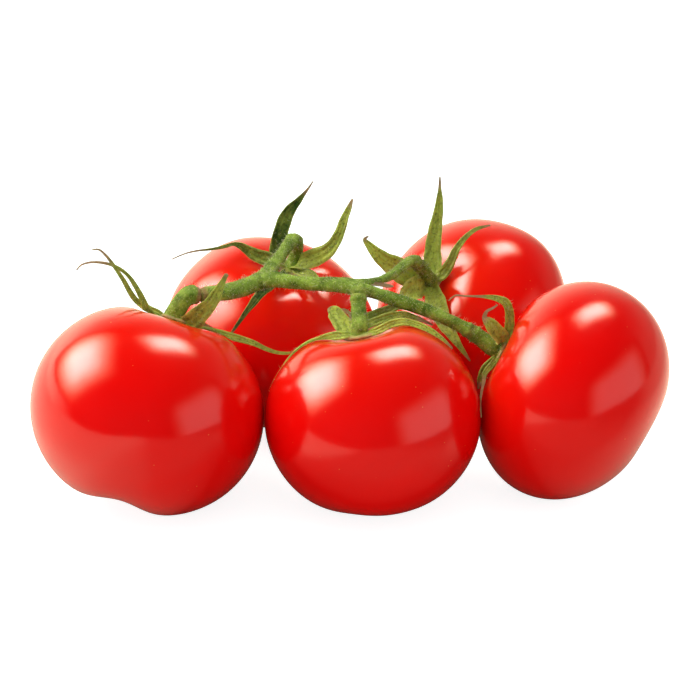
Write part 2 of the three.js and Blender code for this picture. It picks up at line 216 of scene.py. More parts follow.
# Ripe tomato skin, grown: a clear waxy cuticle over red flesh. It gives soft-edged reflections of
# whatever is bright, a deep even red that glows a little, an orange cast round the stalk, and a few
# tiny pale pores.
def ripe_skin():
    material, tree = new_material("ripe_tomato_skin")
    place = add_node(tree, "TexCoord").outputs["Object"]
    clouds = add_node(tree, "TexNoise", {"Vector": place, "Scale": 1 / (25 * MM), "Detail": 3})
    flesh = add_node(tree, "Mix", {0: clouds.outputs["Fac"], 6: linear("#d80202"),
                     7: linear("#e40404")}, data_type="RGBA").outputs[2]
    stalk_end = add_node(tree, "Attribute", attribute_name="stalk_end").outputs["Fac"]
    warmth = add_node(tree, "Math", {0: stalk_end, 1: 0.5}, operation="MULTIPLY").outputs[0]
    warm = add_node(tree, "Mix", {0: warmth, 6: flesh, 7: linear("#ec3004")}, data_type="RGBA").outputs[2]
    cells = add_node(tree, "TexVoronoi", {"Vector": place, "Scale": 1 / (3.2 * MM)})
    pore = add_node(tree, "MapRange", {"Value": cells.outputs["Distance"], "From Min": 0.03,
                    "From Max": 0.075, "To Min": 0.5, "To Max": 0}).outputs["Result"]
    patches = add_node(tree, "TexNoise", {"Vector": place, "Scale": 1 / (9 * MM)})
    some = add_node(tree, "MapRange", {"Value": patches.outputs["Fac"], "From Min": 0.5,
                    "From Max": 0.66}).outputs["Result"]
    pores = add_node(tree, "Math", {0: pore, 1: some}, operation="MULTIPLY").outputs[0]
    colour = add_node(tree, "Mix", {0: pores, 6: warm, 7: linear("#e8a05a")}, data_type="RGBA").outputs[2]
    grain = add_node(tree, "TexNoise", {"Vector": place, "Scale": 1 / (1.2 * MM), "Detail": 2})
    relief = add_node(tree, "Bump", {"Height": grain.outputs["Fac"], "Strength": 0.08,
                      "Distance": 0.1 * MM}).outputs["Normal"]
    skin = add_node(tree, "BsdfPrincipled", {
        "Base Color": colour, "Roughness": 0.18, "IOR": 1.42, "Subsurface Weight": 0.9,
        "Subsurface Radius": (1.0, 0.2, 0.1), "Subsurface Scale": 10 * MM, "Coat Weight": 0.3,
        "Coat Roughness": 0.1, "Coat IOR": 1.42, "Normal": relief})
    add_node(tree, "OutputMaterial", {"Surface": skin.outputs["BSDF"]})
    return material


RIPE_SKIN = ripe_skin()
for name, fruit in FRUITS.items():
    down = np.linspace(math.pi, 0, FRUIT_BELTS + 2)[1:-1, None]
    around = np.linspace(0, 2 * math.pi, FRUIT_SIDES, endpoint=False)[None, :]
    rings = rested_skin(fruit, down, around + 0 * down)
    ends = [rested_skin(fruit, np.array(end), np.array(0.0)) for end in (math.pi, 0.0)]
    stalk_end = np.exp(-(down / ORANGE_REACH) ** 2)
    body = closed_skin(rings, *ends, stalk_end=stalk_end)
    piece(f"tomato_{name}_skin", [body], RIPE_SKIN, "tomato_skin", f"tomato_{name}")

# The calyxes
# Each fruit's green base, grown with it: a small round button in the hollow, five or six leafy sepals
# that curl out of its rim and dry at their tips, and the fruit's own stalk up to the knuckle where it
# would break from the vine.
SEAT_RISE = 1.35
BUTTON_RADIUS = 4.4
BUTTON_THICKNESS = 2.2
BUTTON_WAIST = 0.8
BUTTON_TONGUE = 0.35
BUTTON_SIDES = 60
BUTTON_STEPS = 18
BUTTON_CLEARANCE = 0.1
CLEARANCE = 0.15
CLEARING_ROUNDS = 3
HALVINGS = 20
BLADE_THICKNESS = 0.6
TIP_THINNING = 0.5
BLADE_STEPS = 110
BLADE_SIDES = 32
BLADE_FOLD = 0.3
EDGE_RIPPLE = 0.08
MIDRIB = 0.5
MIDRIB_GROOVE = 0.16
VEIN = 0.05
BLISTER = 0.09
FACING = (0, -0.9, 0.44)
STALK_SIDES = 36
STALK_STEPS = 60
LIP_STEPS = 5
FLARE = 1.3
LIP = 0.35
COLLAR = 0.28
COLLAR_PLACE = 1.1
COLLAR_REACH = 0.55
GROOVE = 0.9
TAN_REACH = 0.4

# A sepal's stops are offset from its calyx's seat, each with the blade's width there: [right, away,
# up, width]. dry is the share of its length where the dry tip starts, and tone how pale it is, from
# about 0 for deep green to 1 for yellow green, with mottles of 0.2 either way. tone is partly the
# sepal's own green and partly painted light and shade: sepals that face away from the light are painted
# darker, and those lit from behind paler. Its upper side turns to FACING, or to its own facing.
SEPALS = {
    "left": [
        dict(dry=0.72, tone=0.55, route=[
            [-2.5, -2, 1.5, 2.8], [-5.5, -2, 2, 3], [-7.3, -1.5, 4, 2.8], [-8.8, -0.5, 7.5, 2],
            [-11, 1, 11.5, 1.5], [-13.5, 2, 15, 1.2], [-16.8, 2.5, 17.4, 1], [-21.4, 3, 18.6, 0.85],
            [-25, 3, 18.6, 0.65], [-27.6, 3, 17.7, 0.5], [-29, 3, 16, 0.4]]),
        dict(dry=0.8, tone=0.6, route=[
            [-2.5, 2.5, 0, 2.4], [-5, 4, 1, 2.5], [-8, 5.5, 2, 2.3], [-11.3, 6.5, 4, 1.9],
            [-15.9, 8.5, 11.1, 1.4], [-18.7, 9.5, 15.3, 1.1], [-20.9, 10.5, 17.9, 0.8],
            [-23, 11, 19.5, 0.6], [-25, 11, 19.3, 0.4]]),
        dict(dry=0.97, tone=0.5, facing=(0.15, -0.95, 0.25), route=[
            [2, -2, -0.5, 5.6], [5.5, -3, 1.5, 6.3], [8.5, -4, 5, 5.6], [12, -5, 9, 4.4],
            [14, -5, 12.5, 3.1], [15.5, -5, 15.5, 1.9], [17, -5, 18.5, 1.4]]),
        dict(dry=0.95, tone=0.75, facing=(0, -0.75, 0.65), route=[
            [5, -1, -1.5, 3.2], [8, -1, -2.5, 3.5], [12, -0.5, -3.5, 3.2], [16, 0, -4.5, 2.7],
            [20.5, 0.5, -6, 2.2], [24.5, 0.5, -7.4, 1.8], [28, 0, -9, 1.4], [31.5, -0.5, -10, 1.1],
            [35, -1, -10, 0.9], [38.5, -1.5, -8.8, 0.5]]),
        dict(dry=0.15, tone=0.1, route=[
            [3.5, 4, -1, 2.2], [6, 6.5, -2.5, 2.2], [8, 8.5, -4.5, 1.6], [11.5, 11, -7.5, 0.6]]),
    ],
    "middle": [
        dict(dry=0.93, tone=0.8, route=[
            [-4.5, -1, 1.5, 3.2], [-8.5, -1.5, 1.5, 2.9], [-12, -2, 0.5, 2.7], [-15, -2.5, -0.5, 2.5],
            [-18, -3.5, -2, 2.3], [-21, -5, -4.5, 1.9], [-23.5, -6, -8, 1.4], [-27, -7.5, -14, 0.6]]),
        dict(dry=0.92, tone=0.85, route=[
            [2.5, -1, 2, 3], [6, -1, 3.5, 2.8], [9, -0.5, 5, 2.6], [13, -0.5, 6, 2.4],
            [16.5, -1, 5.5, 2.3], [20.5, -2, 4, 2.2], [24, -3, 2, 1.8], [28, -4.5, -1, 0.6]]),
        dict(dry=0.8, tone=0.6, route=[
            [2.5, 3, 3, 2.9], [6, 6, 3.5, 2.8], [10, 8, 4, 2.5], [13.5, 9, 4, 2.1], [17, 10, 2.5, 1.6],
            [22.5, 11, -0.5, 0.5]]),
        dict(dry=0.97, tone=0.75, facing=(0.2, -0.9, 0.4), route=[
            [-3, 3, 1, 4.8], [-5, 5.5, 2, 5.6], [-6.8, 7.5, 3.8, 5.2], [-8.4, 9, 5.2, 3.6],
            [-9.6, 9.5, 5.6, 1.2]]),
        dict(dry=0.4, tone=0.2, route=[
            [-2, 7, 2.5, 1.4], [-3, 11, 3.3, 1.3], [-4.5, 13, 3.5, 1.1], [-7, 15, 2.6, 0.6]]),
        dict(dry=0.95, tone=0.55, route=[
            [2, 5, 4, 3], [5, 10, 3.5, 3.2], [8.5, 14, 3, 2.9], [11.5, 17, 3, 2.4], [16.5, 22, 3, 0.8]]),
    ],
    "right": [
        dict(dry=0.7, tone=0.65, route=[
            [0.5, -0.5, 3, 2.8], [1, -1, 7, 3.1], [1, -2, 12, 2.9], [0.5, -2.5, 16, 2.8],
            [-0.5, -3, 18.5, 2.6], [-3, -3.5, 20, 2], [-6, -4, 20.8, 1.3], [-9.5, -4, 21, 0.75],
            [-13, -4, 21.1, 0.55], [-16, -4, 21.3, 0.5], [-18, -4, 19.5, 0.4]]),
        dict(dry=0.68, tone=0.7, facing=(0.2, -0.9, 0.4), route=[
            [-1, -2.5, 6, 4.6], [-3.5, -4, 9.5, 4.8], [-5.5, -5, 12.5, 3.6], [-7, -5, 14.5, 1.7],
            [-6.5, -5, 16.3, 1], [-4.5, -4.5, 17.3, 0.8], [-3, -4, 18.2, 0.5]]),
        dict(dry=0.45, tone=0.5, route=[
            [-2.5, -4, 0, 2], [-4.5, -6, -1.5, 2.1], [-6.5, -9, -2.5, 1.6], [-7.2, -13, -3.7, 1.1],
            [-8, -17, -5, 0.8], [-8.5, -21, -6.3, 0.6], [-8.5, -27, -8.5, 0.4]]),
        dict(dry=0.85, tone=0.45, route=[
            [-2, -2, -0.5, 2.8], [-4.5, -3.5, -2, 3], [-6.5, -4.5, -4, 2.9], [-7.5, -5.5, -6, 2.3],
            [-8.3, -6.2, -9.3, 0.6]]),
        dict(dry=0.9, tone=0.4, facing=(-0.4, 0, 0.9), route=[
            [-1.5, 4, 1, 3.1], [-1.5, 9, 1, 3.6], [1, 15, -1, 2.6], [3.5, 21, -5, 0.9]]),
    ],
    "back_left": [
        dict(dry=0.86, tone=0.12, facing=(0.3, -0.93, 0.2), route=[
            [-4.5, 0.5, 2, 4.4], [-4.6, 2, 5, 5], [-4, 4, 9, 5.2], [-3, 5.5, 12.5, 5.1],
            [-1.5, 7, 16, 4.5], [0.5, 8, 19, 3.5], [2.5, 8.5, 21, 2.5], [4, 9, 22.7, 1.5],
            [5.5, 9.2, 24.5, 0.9], [7.5, 9.5, 27.5, 0.35]]),
        dict(dry=0.92, tone=0.7, facing=(-0.1, -0.88, 0.45), route=[
            [3, -2.5, 3.5, 4.6], [6, -3.5, 5.2, 6], [9.5, -4.5, 7.3, 5.8], [12.3, -5, 9.2, 4.7],
            [14.8, -4.5, 12.4, 3.9], [16.4, -4, 16, 3.2], [17.7, -3.5, 20, 2.6], [19, -3, 23, 1.9],
            [20.2, -2.5, 26.2, 0.6]]),
        dict(dry=0.75, tone=0.35, route=[
            [-4, -0.5, 3.5, 4.2], [-8, -0.5, 4.5, 4.7], [-11.5, -0.5, 6, 4], [-14, -0.5, 7.7, 3.2],
            [-16.5, -1, 9.5, 2], [-18.2, -1, 9.9, 1.2], [-20, -1.5, 9.5, 1.2], [-22.5, -2, 9, 1.1],
            [-26, -2.5, 8.6, 0.8], [-29.5, -3, 8.4, 0.6], [-33, -3.5, 7.8, 0.5], [-38, -4.5, 6, 0.35]]),
        dict(dry=0.97, tone=0.08, route=[
            [-3.5, -9, 1.5, 2.8], [-6.5, -17, 2, 3.2], [-8.5, -22, 2.5, 3.2], [-11, -27, 1, 2.4],
            [-13, -29, -1, 1.7], [-15, -30.5, -3.5, 1.3], [-18, -32, -7.5, 0.7]]),
        dict(dry=0.95, tone=0.6, facing=(0, -0.6, 0.8), route=[
            [2.5, -3, 1, 3.2], [5, -7, 2, 4.2], [8, -12, 2.5, 3], [10.5, -16, 2, 0.9]]),
    ],
    "back_right": [
        dict(dry=0.88, tone=0.65, facing=(0, -0.96, 0.28), route=[
            [0.5, 0.5, 4.5, 5.4], [0, 2, 8, 5.9], [0, 3, 11.5, 5.4], [0.5, 4, 15.5, 4.7], [1, 5, 19, 4.1],
            [1.7, 5.5, 23.5, 3.1], [2, 6, 27.5, 2.1], [2, 6, 31, 1.1], [2, 6, 35, 0.5]]),
        dict(dry=0.93, tone=1.1, facing=(0.2, -0.93, 0.3), route=[
            [-3.5, -2, 2, 5.6], [-8, -4, 4.6, 8], [-12.5, -6, 8.6, 7.2], [-16, -7.5, 11.6, 5.6],
            [-19, -9, 15, 3.8], [-21, -9, 17.5, 2.4], [-22.3, -9, 19.7, 1.2], [-21, -9, 20.6, 0.4]]),
        dict(dry=0.92, tone=0.6, route=[
            [3, -2, 4, 3.9], [4.5, -2.5, 6.5, 3.6], [6, -3, 10, 3], [7.2, -2.7, 13, 2.4],
            [9, -2, 15.6, 2], [11, -1, 17.5, 1.7], [13.5, 0.5, 18.8, 1.3], [18.5, 2.5, 19.5, 0.5]]),
        dict(dry=0.95, tone=0.75, facing=(0, -0.95, 0.3), route=[
            [-2.5, -4, 1, 5], [-5, -8, 2.4, 7.4], [-7.5, -11, 2, 7.2], [-9.5, -14, 0.4, 5],
            [-11.5, -17, -1.5, 1.2]]),
        dict(dry=0.93, tone=0.7, facing=(0, -0.85, 0.5), route=[
            [0, -4.5, 0, 4.4], [0.3, -8, -1.5, 6.4], [1.5, -12.5, -3.5, 6.1], [3.2, -16.5, -6.5, 5],
            [5.5, -19.5, -9, 3.5], [8, -22, -12, 2.1], [11.5, -24, -16.5, 0.6]]),
    ],
}

# A stalk's stops are in the truss's own place, each with a radius: [right, away, up, radius].
STALKS = {
    "left": [[-55.2, -22.7, 57.6, 2.75], [-53.4, -22, 60.3, 2.8], [-51.5, -21.5, 63.1, 2.85],
             [-49.6, -21, 64.5, 2.85], [-47.9, -20.5, 64.1, 2.75]],
    "middle": [[1.9, -28, 57.1, 2.5], [1.7, -25, 59.3, 2.35], [1.6, -22, 61.6, 2.3],
               [1.6, -20.2, 63.8, 2.4]],
    "right": [[43.5, -18, 44.8, 2.6], [41.6, -17.7, 46.4, 2.6], [39.1, -17.3, 48.4, 2.5],
              [36.5, -17.1, 50.2, 2.4]],
    "back_left": [[-19.8, 24, 54.9, 2.2], [-18.6, 24.3, 57.6, 2.05], [-18.1, 23, 61.4, 2.1],
                  [-18.8, 20.5, 64.9, 2.4]],
    "back_right": [[25.5, 24, 48.9, 2.2], [24.2, 22, 51.4, 2.1], [22.5, 19.5, 54.8, 2.05],
                   [20.8, 17, 58, 2.05]],
}
# How far each knuckle has dried to brown. The more it has, the deeper the groove beside it, where the
# stalk's end is rounded over a lip that is up to GROOVE longer.
KNUCKLE_TAN = {"left": 0.95, "middle": 0.2, "right": 0.35, "back_left": 0.15, "back_right": 0.3}


def unit(vectors):
    """Vectors at length one."""
    return vectors / np.linalg.norm(vectors, axis=-1, keepdims=True)


def smooth_route(stops, steps):
    """A smooth line through the stops in even steps, with whatever each stop carries beside its place.
    Between two stops each value is the cubic that meets them with the slopes of the parabolas through
    each stop and its two neighbours."""
    stops = np.array(stops, float)
    reach = np.append(0, np.cumsum(np.linalg.norm(np.diff(stops[:, :3], axis=0), axis=1)))
    slopes = np.gradient(stops, reach, axis=0)
    at = np.linspace(0, reach[-1], steps)
    before = np.clip(np.searchsorted(reach, at, side="right") - 1, 0, len(stops) - 2)
    gap = (reach[before + 1] - reach[before])[:, None]
    t = (at - reach[before])[:, None] / gap
    here, after = stops[before], stops[before + 1]
    lean_here, lean_after = gap * slopes[before], gap * slopes[before + 1]
    return ((2 * t ** 3 - 3 * t ** 2 + 1) * here + (3 * t ** 2 - 2 * t ** 3) * after
            + (t ** 3 - 2 * t ** 2 + t) * lean_here + (t ** 3 - t ** 2) * lean_after)


def evened(values, reach):
    """Each row as the mean of its neighbours up to reach steps away, with the ends held."""
    padded = np.concatenate([np.repeat(values[:1], reach, 0), values, np.repeat(values[-1:], reach, 0)])
    return sum(padded[i:i + len(values)] for i in range(2 * reach + 1)) / (2 * reach + 1)


def carried_frames(line, side):
    """At each step of a line: the way ahead, a side direction carried along with the least turning,
    and the direction square to both."""
    ahead = unit(np.gradient(line, axis=0))
    sides = []
    for way in ahead:
        side = unit(side - way * (side @ way))
        sides.append(side)
    sides = np.array(sides)
    return ahead, sides, np.cross(ahead, sides)


def clear_of_fruits(points, gap):
    """Points lifted off every fruit that they are in or too near: each is pushed out from the fruit's
    middle. The skin in its direction is found by halving the range of down."""
    for fruit in list(FRUITS.values()) * CLEARING_ROUNDS:
        turn = turn_of(fruit)
        local = (points - fruit["at"]) @ turn
        around = np.arctan2(local[..., 1], local[..., 0])
        wanted = np.arctan2(np.hypot(local[..., 0], local[..., 1]), local[..., 2])
        low, high = np.zeros(wanted.shape), np.full(wanted.shape, math.pi)
        for _ in range(HALVINGS):
            middle = (low + high) / 2
            skin = skin_point(fruit, middle, around)
            short = np.arctan2(np.hypot(skin[..., 0], skin[..., 1]), skin[..., 2]) < wanted
            low, high = np.where(short, middle, low), np.where(short, high, middle)
        least = np.linalg.norm(skin, axis=-1) + gap
        away = np.linalg.norm(local, axis=-1)
        push = np.maximum(least / away, 1)[..., None]
        points = np.array(fruit["at"]) + (local * push) @ turn.T
    return points


def smooth_step(low, high, value):
    """0 below low and 1 above high, with an even S between."""
    t = np.clip((value - low) / (high - low), 0, 1)
    return t * t * (3 - 2 * t)


def blade(root, axis, seat, sepal, seed):
    """A sepal as a closed blade. At each step of its route the section is a thin oval as wide as its
    stops say, folded up towards both edges, with slow waves in the edges, a midrib below, a groove
    above, fine veins, and low blisters between them. The upper side looks along the axis at the root,
    and turns to the sepal's own facing over the first third. Where it would meet a fruit, it lies on
    it."""
    stops = np.array(sepal["route"], float) + [*seat, 0]
    route = smooth_route(np.vstack([[*root, stops[0, 3] * 0.8], stops]), BLADE_STEPS)
    line = evened(route[:, :3], 2)
    width = np.maximum(route[:, 3:], 0.3)
    along = np.linspace(0, 1, BLADE_STEPS)[:, None]
    ahead = unit(np.gradient(line, axis=0))
    facing = np.array(sepal.get("facing", FACING))
    wanted = axis + (facing - axis) * smooth_step(0, 0.3, along)
    above = unit(evened(wanted - ahead * (wanted * ahead).sum(1, keepdims=True), 8))
    side = unit(np.cross(above, ahead))
    above = np.cross(ahead, side)
    draw = np.random.default_rng(seed)
    turn = np.linspace(0, 2 * math.pi, BLADE_SIDES, endpoint=False)[None, :]
    across, face = np.cos(turn), np.sin(turn)
    length = np.linalg.norm(np.diff(line, axis=0), axis=1).sum()
    at = along * length
    phases = draw.uniform(0, 6, 6)
    half = width / 2 * (1 + 0.03 * np.sin(at / 1.7 + phases[0]) + 0.02 * np.sin(at / 0.8 + phases[1]))
    edge = np.abs(across) ** 1.6
    ripple = np.where(across > 0, np.sin(at / 1.9 + phases[2]), np.sin(at / 1.6 + phases[3]))
    lift = half * edge * (BLADE_FOLD + EDGE_RIPPLE * ripple * smooth_step(0.1, 0.35, along))
    middle = line[:, None] + side[:, None] * (across * half)[..., None]
    middle = middle + above[:, None] * lift[..., None]
    thin = 1 - TIP_THINNING * smooth_step(0.2, 1, along)
    middle = clear_of_fruits(middle, CLEARANCE + BLADE_THICKNESS / 2)
    room = smooth_step(0.3, 1.2, half)
    rib = np.where(face < 0, MIDRIB, -MIDRIB_GROOVE) * np.exp(-(across / 0.16) ** 2)
    veins = VEIN * np.cos(across * 9.5)
    slanted = np.sin(at / 0.42 + 4 * across + phases[4])
    blisters = BLISTER * slanted * np.cos(7 * across - at / 0.7 + phases[5])
    relief = np.abs(face) * (rib * thin + veins * thin + blisters) * room
    surface = BLADE_THICKNESS / 2 * thin * face + np.sign(face) * relief
    rings = middle + above[:, None] * surface[..., None]
    dryness = smooth_step(sepal["dry"] - 0.05, sepal["dry"] + 0.05, along + 0 * across)
    # Each point carries the sepal's tone, which is partly painted light and shade.
    return closed_skin(rings, line[0], line[-1] + 0.3 * ahead[-1], along=along, edge=np.abs(across),
                       dryness=dryness, ripple=veins / VEIN, tone=sepal["tone"] + 0 * dryness)


def stem(stops, steps, sides, lips, seed, collar=0):
    """A round stem through its stops: a circle of each stop's radius square to the way ahead, swelled
    a little by slow waves round and along it, with five faint ridges, and by a bell just before its
    far end where it has a collar. The two ends close over rounded lips of the given lengths. The mark
    left is the length that is still left to the far end."""
    route = smooth_route(stops, steps)
    line, radius = route[:, :3], route[:, 3:]
    ahead, side, above = carried_frames(line, np.array([0.36, 0.48, 0.8]))
    draw = np.random.default_rng(seed)
    turn = np.linspace(0, 2 * math.pi, sides, endpoint=False)[None, :]
    at = np.append(0, np.cumsum(np.linalg.norm(np.diff(line, axis=0), axis=1)))[:, None]
    left = at[-1, 0] - at
    round_it, along_it = draw.uniform(0, 6, 2)
    swell = 1 + 0.025 * np.sin(3 * turn + at / 3 + round_it) + 0.02 * np.sin(at * 1.1 + along_it)
    swell = swell + 0.02 * np.sin(5 * turn - at / 5)
    radius = radius + collar * np.exp(-((left - COLLAR_PLACE) / COLLAR_REACH) ** 2)
    spoke = side[:, None] * np.cos(turn)[..., None] + above[:, None] * np.sin(turn)[..., None]
    rings = line[:, None] + spoke * (radius * swell)[..., None]
    bend = np.linspace(0, math.pi / 2, LIP_STEPS + 1)[1:, None, None]

    def close(end, way, lip):
        shrink = 1 - lip * (1 - np.cos(bend)) / radius[end, 0]
        return line[end] + (rings[end] - line[end]) * shrink + way * lip * np.sin(bend)

    rings = np.concatenate([close(0, -ahead[0], lips[0])[::-1], rings, close(-1, ahead[-1], lips[1])])
    left = np.concatenate([np.full((LIP_STEPS, 1), at[-1, 0]), left, np.full((LIP_STEPS, 1), 0.0)])
    return closed_skin(rings, line[0] - ahead[0] * lips[0], line[-1] + ahead[-1] * lips[1], left=left)


def button(seat, axis, sepals, seed):
    """The round base that the sepals and the stalk grow from: a flattened ball whose rim reaches out
    under each sepal and dips between them."""
    draw = np.random.default_rng(seed)
    level = unit(np.cross(axis, [0.3, 0.5, 0.81]))
    beside = np.cross(axis, level)
    turn = np.linspace(0, 2 * math.pi, BUTTON_SIDES, endpoint=False)[None, :]
    up = np.linspace(-math.pi / 2, math.pi / 2, BUTTON_STEPS)[1:-1, None]
    reach = np.full(turn.shape, BUTTON_WAIST)
    for sepal in sepals:
        out = np.array(sepal["route"][0][:3], float)
        off = turn - math.atan2(out @ beside, out @ level)
        reach = np.maximum(reach, BUTTON_WAIST + BUTTON_TONGUE * np.exp((np.cos(off) - 1) / 0.12))
    radius = BUTTON_RADIUS * np.cos(up) * reach * (1 + 0.02 * np.sin(9 * turn + draw.uniform(0, 6)))
    height = BUTTON_THICKNESS / 2 * (1 + np.sin(up) + 0.12 * (reach - 0.9) * np.cos(up))
    spoke = level * np.cos(turn)[..., None] + beside * np.sin(turn)[..., None]
    rings = seat + spoke * radius[..., None] + axis * (height + 0 * radius)[..., None]
    rings = clear_of_fruits(rings, BUTTON_CLEARANCE)
    flat = np.abs(np.cos(up)) + 0 * radius
    return closed_skin(rings, rings[0].mean(0), rings[-1].mean(0), along=0 * flat, edge=0 * flat,
                       dryness=0.75 * flat ** 5, ripple=0 * flat, tone=0.6 + 0 * flat)


# Tomato leaf, grown: soft, slightly translucent green blades. Dark and light mottles and lengthwise
# veins break up the green, edges are paler, and what has dried is straw with dark brown edges. Each
# blade's tone sets how pale its green is, partly its own green and partly painted light and shade.
def sepal_leaf():
    material, tree = new_material("tomato_leaf")
    place = add_node(tree, "TexCoord").outputs["Object"]
    mark = lambda name: add_node(tree, "Attribute", attribute_name=name).outputs["Fac"]
    clouds = add_node(tree, "TexNoise", {"Vector": place, "Scale": 1 / (3 * MM), "Detail": 4,
                      "Roughness": 0.65})
    cover = add_node(tree, "MapRange", {"Value": clouds.outputs["Fac"], "From Min": 0.35,
                     "From Max": 0.65, "To Min": -0.2, "To Max": 0.2}).outputs["Result"]
    # The blade's tone, partly painted light and shade, plus the mottles, picks between deep and yellow
    # green.
    shade = add_node(tree, "Math", {0: mark("tone"), 1: cover}, operation="ADD", use_clamp=True)
    green = add_node(tree, "Mix", {0: shade.outputs[0], 6: linear("#2c500a"),
                     7: linear("#c0d658")}, data_type="RGBA").outputs[2]
    spots = add_node(tree, "TexNoise", {"Vector": place, "Scale": 1 / (0.8 * MM), "Detail": 2})
    dark = add_node(tree, "MapRange", {"Value": spots.outputs["Fac"], "From Min": 0.52,
                    "From Max": 0.72, "To Max": 0.6}).outputs["Result"]
    spotted = add_node(tree, "Mix", {0: dark, 6: green, 7: linear("#2c400a")},
                       data_type="RGBA").outputs[2]
    rim = add_node(tree, "MapRange", {"Value": mark("edge"), "From Min": 0.8, "From Max": 1,
                   "To Max": 0.7}).outputs["Result"]
    rimmed = add_node(tree, "Mix", {0: rim, 6: spotted, 7: linear("#bcc464")},
                      data_type="RGBA").outputs[2]
    base = add_node(tree, "MapRange", {"Value": mark("along"), "From Min": 0, "From Max": 0.25,
                    "To Min": 0.5, "To Max": 0}).outputs["Result"]
    based = add_node(tree, "Mix", {0: base, 6: rimmed, 7: linear("#8ca03c")}, data_type="RGBA").outputs[2]
    straw = add_node(tree, "Mix", {0: clouds.outputs["Fac"], 6: linear("#94743c"),
                     7: linear("#d4c094")}, data_type="RGBA").outputs[2]
    brown_rim = add_node(tree, "MapRange", {"Value": mark("edge"), "From Min": 0.75,
                         "From Max": 1, "To Max": 0.75}).outputs["Result"]
    dried = add_node(tree, "Mix", {0: brown_rim, 6: straw, 7: linear("#543c20")},
                     data_type="RGBA").outputs[2]
    colour = add_node(tree, "Mix", {0: mark("dryness"), 6: based, 7: dried}, data_type="RGBA").outputs[2]
    fuzz = add_node(tree, "TexNoise", {"Vector": place, "Scale": 1 / (0.5 * MM), "Detail": 3})
    grain = add_node(tree, "Math", {0: mark("ripple"), 1: 0.4}, operation="MULTIPLY").outputs[0]
    height = add_node(tree, "Math", {0: fuzz.outputs["Fac"], 1: grain}, operation="ADD")
    relief = add_node(tree, "Bump", {"Height": height.outputs[0], "Strength": 1.0,
                      "Distance": 0.5 * MM}).outputs["Normal"]
    leaf = add_node(tree, "BsdfPrincipled", {
        "Base Color": colour, "Roughness": 0.6, "IOR": 1.42, "Specular IOR Level": 0.3,
        "Subsurface Weight": 0.3, "Subsurface Radius": (0.8, 1.0, 0.15), "Subsurface Scale": 0.6 * MM,
        "Normal": relief})
    add_node(tree, "OutputMaterial", {"Surface": leaf.outputs["BSDF"]})
    return material


# Green tomato stem, grown: a fleshy skin covered in very short pale hairs. It looks matt and sandy,
# mid green with paler specks where the hairs root, and brown where a joint or a cut has dried.
def stem_skin():
    material, tree = new_material("green_tomato_stem")
    place = add_node(tree, "TexCoord").outputs["Object"]
    clouds = add_node(tree, "TexNoise", {"Vector": place, "Scale": 1 / (4 * MM), "Detail": 4,
                      "Roughness": 0.6})
    cover = add_node(tree, "MapRange", {"Value": clouds.outputs["Fac"], "From Min": 0.35,
                     "From Max": 0.65}).outputs["Result"]
    green = add_node(tree, "Mix", {0: cover, 6: linear("#486a12"), 7: linear("#8eb03e")},
                     data_type="RGBA").outputs[2]
    cells = add_node(tree, "TexVoronoi", {"Vector": place, "Scale": 1 / (0.7 * MM)})
    root = add_node(tree, "MapRange", {"Value": cells.outputs["Distance"], "From Min": 0.1,
                    "From Max": 0.35, "To Min": 0.7, "To Max": 0}).outputs["Result"]
    specked = add_node(tree, "Mix", {0: root, 6: green, 7: linear("#b4be6c")},
                       data_type="RGBA").outputs[2]
    pits = add_node(tree, "TexNoise", {"Vector": place, "Scale": 1 / (0.7 * MM), "Detail": 2})
    dark = add_node(tree, "MapRange", {"Value": pits.outputs["Fac"], "From Min": 0.52,
                    "From Max": 0.7, "To Max": 0.4}).outputs["Result"]
    pitted = add_node(tree, "Mix", {0: dark, 6: specked, 7: linear("#2c3c08")},
                      data_type="RGBA").outputs[2]
    scar = add_node(tree, "Attribute", attribute_name="scar").outputs["Fac"]
    bark = add_node(tree, "Mix", {0: cover, 6: linear("#5c4420"), 7: linear("#a88c58")},
                    data_type="RGBA").outputs[2]
    colour = add_node(tree, "Mix", {0: scar, 6: pitted, 7: bark}, data_type="RGBA").outputs[2]
    grain = add_node(tree, "TexNoise", {"Vector": place, "Scale": 1 / (0.5 * MM), "Detail": 3})
    relief = add_node(tree, "Bump", {"Height": grain.outputs["Fac"], "Strength": 1.0,
                      "Distance": 0.55 * MM}).outputs["Normal"]
    skin = add_node(tree, "BsdfPrincipled", {
        "Base Color": colour, "Roughness": 0.7, "IOR": 1.42, "Specular IOR Level": 0.25,
        "Subsurface Weight": 0.15, "Subsurface Radius": (0.8, 1.0, 0.15), "Subsurface Scale": 0.8 * MM,
        "Normal": relief})
    add_node(tree, "OutputMaterial", {"Surface": skin.outputs["BSDF"]})
    return material


SEPAL_LEAF = sepal_leaf()
STEM_SKIN = stem_skin()
for order, (name, sepals) in enumerate(SEPALS.items()):
    fruit = FRUITS[name]
    axis = turn_of(fruit)[:, 2]
    seat = fruit["at"] + axis * (fruit["height"] / 2 - fruit["hollow"] + SEAT_RISE)
    root = seat + axis * BUTTON_THICKNESS / 2
    blades = [blade(root, axis, seat, sepal, 10 * order + i) for i, sepal in enumerate(sepals)]
    piece(f"calyx_{name}_sepals", blades + [button(seat, axis, sepals, order)], SEPAL_LEAF,
          "calyx_green", f"calyx_{name}")
    radius = STALKS[name][0][3]
    foot = [*(seat + axis), radius * FLARE]
    neck = [*(seat + axis * BUTTON_THICKNESS), radius]
    lips = (LIP, LIP + GROOVE * KNUCKLE_TAN[name])
    body = stem([foot, neck, *STALKS[name]], STALK_STEPS, STALK_SIDES, lips, order, COLLAR)
    left = body["marks"].pop("left")
    body["marks"]["scar"] = KNUCKLE_TAN[name] * np.exp(-(left / TAN_REACH) ** 2)
    piece(f"calyx_{name}_stalk", [body], STEM_SKIN, "calyx_green", f"calyx_{name}")

